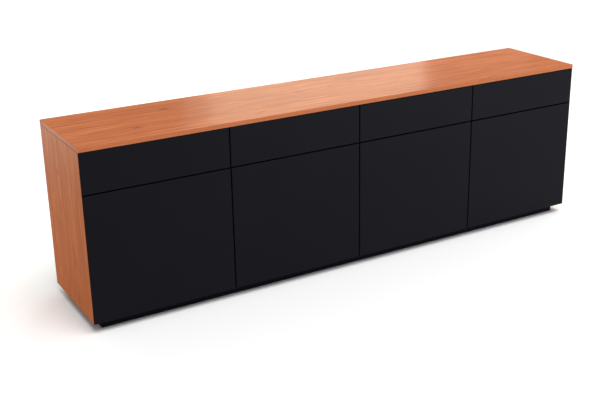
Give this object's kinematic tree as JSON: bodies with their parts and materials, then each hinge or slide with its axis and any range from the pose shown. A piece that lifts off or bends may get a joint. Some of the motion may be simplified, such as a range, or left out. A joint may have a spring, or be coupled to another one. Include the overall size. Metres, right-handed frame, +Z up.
{
  "type": "office credenza",
  "caption": "Long low office credenza: wood top and ends with mitred corners, black push-to-open drawers over hinged doors, recessed plinth.",
  "frame": {"origin": "on the floor under the middle of the body", "axes": "+X along the length, to the right when facing the fronts; +Y to the back; +Z up"},
  "size_m": [2.4, 0.45, 0.74],
  "materials": {
    "cherry_veneer": "satin lacquered cherry veneer",
    "black_front": "matt black lacquered board",
    "black_plinth": "black laminated board",
    "carcass_board": "anthracite melamine-faced board",
    "drawer_board": "grey melamine-faced board",
    "zinc_steel": "zinc-plated rolled steel",
    "plated_steel": "nickel-plated steel",
    "black_plastic": "matt black moulding",
    "grey_plastic": "matt grey moulding"
  },
  "bodies": {
    "carcass": {"top_panel": "cherry_veneer", "end_panel_left": "cherry_veneer", "end_panel_right": "cherry_veneer", "bottom_panel": "carcass_board", "partition_1": "carcass_board", "partition_2": "carcass_board", "partition_3": "carcass_board", "drawer_deck_1": "carcass_board", "drawer_deck_2": "carcass_board", "drawer_deck_3": "carcass_board", "drawer_deck_4": "carcass_board", "back_panel_left": "carcass_board", "back_panel_right": "carcass_board", "plinth_front": "black_plinth", "plinth_back": "black_plinth", "plinth_ends": "black_plinth", "plinth_braces": "black_plinth", "levelling_feet": "black_plastic", "adjustable_shelf_1": "carcass_board", "adjustable_shelf_2": "carcass_board", "adjustable_shelf_3": "carcass_board", "adjustable_shelf_4": "carcass_board", "shelf_pins": "plated_steel", "hinge_arms": "plated_steel", "hinge_plates": "plated_steel", "runner_cabinet_members": "zinc_steel", "latch_housings": "black_plastic", "cam_fittings": "plated_steel"},
    "drawer_1": {"drawer_front_1": "black_front", "drawer_box_1": "drawer_board", "drawer_bottom_1": "drawer_board", "runner_drawer_members_1": "zinc_steel"},
    "runner_middle_1": {"runner_middle_members_1": "zinc_steel"},
    "door_1": {"door_1": "black_front", "hinge_cups_1": "plated_steel"},
    "latch_plunger_1": {"latch_plunger_1": "grey_plastic"},
    "drawer_2": {"drawer_front_2": "black_front", "drawer_box_2": "drawer_board", "drawer_bottom_2": "drawer_board", "runner_drawer_members_2": "zinc_steel"},
    "runner_middle_2": {"runner_middle_members_2": "zinc_steel"},
    "door_2": {"door_2": "black_front", "hinge_cups_2": "plated_steel"},
    "latch_plunger_2": {"latch_plunger_2": "grey_plastic"},
    "drawer_3": {"drawer_front_3": "black_front", "drawer_box_3": "drawer_board", "drawer_bottom_3": "drawer_board", "runner_drawer_members_3": "zinc_steel"},
    "runner_middle_3": {"runner_middle_members_3": "zinc_steel"},
    "door_3": {"door_3": "black_front", "hinge_cups_3": "plated_steel"},
    "latch_plunger_3": {"latch_plunger_3": "grey_plastic"},
    "drawer_4": {"drawer_front_4": "black_front", "drawer_box_4": "drawer_board", "drawer_bottom_4": "drawer_board", "runner_drawer_members_4": "zinc_steel"},
    "runner_middle_4": {"runner_middle_members_4": "zinc_steel"},
    "door_4": {"door_4": "black_front", "hinge_cups_4": "plated_steel"},
    "latch_plunger_4": {"latch_plunger_4": "grey_plastic"}
  },
  "joints": [
    {"name": "drawer_1_slide", "type": "slide", "parent": "carcass", "child": "drawer_1", "axis": [0, -1, 0], "range_m": [0, 0.4]},
    {"name": "runner_middle_1_slide", "type": "slide", "parent": "carcass", "child": "runner_middle_1", "axis": [0, -1, 0], "range_m": [0, 0.2]},
    {"name": "door_1_hinge", "type": "hinge", "parent": "carcass", "child": "door_1", "pos_m": [-0.6145, -0.2172, 0.297], "axis": [0, 0, 1], "range_deg": [0, 90]},
    {"name": "latch_plunger_1_slide", "type": "slide", "parent": "carcass", "child": "latch_plunger_1", "axis": [0, -1, 0], "range_m": [0, 0.014]},
    {"name": "drawer_2_slide", "type": "slide", "parent": "carcass", "child": "drawer_2", "axis": [0, -1, 0], "range_m": [0, 0.4]},
    {"name": "runner_middle_2_slide", "type": "slide", "parent": "carcass", "child": "runner_middle_2", "axis": [0, -1, 0], "range_m": [0, 0.2]},
    {"name": "door_2_hinge", "type": "hinge", "parent": "carcass", "child": "door_2", "pos_m": [-0.0145, -0.2172, 0.297], "axis": [0, 0, 1], "range_deg": [0, 90]},
    {"name": "latch_plunger_2_slide", "type": "slide", "parent": "carcass", "child": "latch_plunger_2", "axis": [0, -1, 0], "range_m": [0, 0.014]},
    {"name": "drawer_3_slide", "type": "slide", "parent": "carcass", "child": "drawer_3", "axis": [0, -1, 0], "range_m": [0, 0.4]},
    {"name": "runner_middle_3_slide", "type": "slide", "parent": "carcass", "child": "runner_middle_3", "axis": [0, -1, 0], "range_m": [0, 0.2]},
    {"name": "door_3_hinge", "type": "hinge", "parent": "carcass", "child": "door_3", "pos_m": [0.0145, -0.2172, 0.297], "axis": [0, 0, -1], "range_deg": [0, 90]},
    {"name": "latch_plunger_3_slide", "type": "slide", "parent": "carcass", "child": "latch_plunger_3", "axis": [0, -1, 0], "range_m": [0, 0.014]},
    {"name": "drawer_4_slide", "type": "slide", "parent": "carcass", "child": "drawer_4", "axis": [0, -1, 0], "range_m": [0, 0.4]},
    {"name": "runner_middle_4_slide", "type": "slide", "parent": "carcass", "child": "runner_middle_4", "axis": [0, -1, 0], "range_m": [0, 0.2]},
    {"name": "door_4_hinge", "type": "hinge", "parent": "carcass", "child": "door_4", "pos_m": [0.6145, -0.2172, 0.297], "axis": [0, 0, -1], "range_deg": [0, 90]},
    {"name": "latch_plunger_4_slide", "type": "slide", "parent": "carcass", "child": "latch_plunger_4", "axis": [0, -1, 0], "range_m": [0, 0.014]}
  ],
  "couplings": [
    {"joint": "runner_middle_1_slide", "follows": "drawer_1_slide", "ratio": 0.5},
    {"joint": "latch_plunger_1_slide", "follows": "door_1_hinge", "m_per_rad": 0.0089},
    {"joint": "runner_middle_2_slide", "follows": "drawer_2_slide", "ratio": 0.5},
    {"joint": "latch_plunger_2_slide", "follows": "door_2_hinge", "m_per_rad": 0.0089},
    {"joint": "runner_middle_3_slide", "follows": "drawer_3_slide", "ratio": 0.5},
    {"joint": "latch_plunger_3_slide", "follows": "door_3_hinge", "m_per_rad": 0.0089},
    {"joint": "runner_middle_4_slide", "follows": "drawer_4_slide", "ratio": 0.5},
    {"joint": "latch_plunger_4_slide", "follows": "door_4_hinge", "m_per_rad": 0.0089}
  ]
}
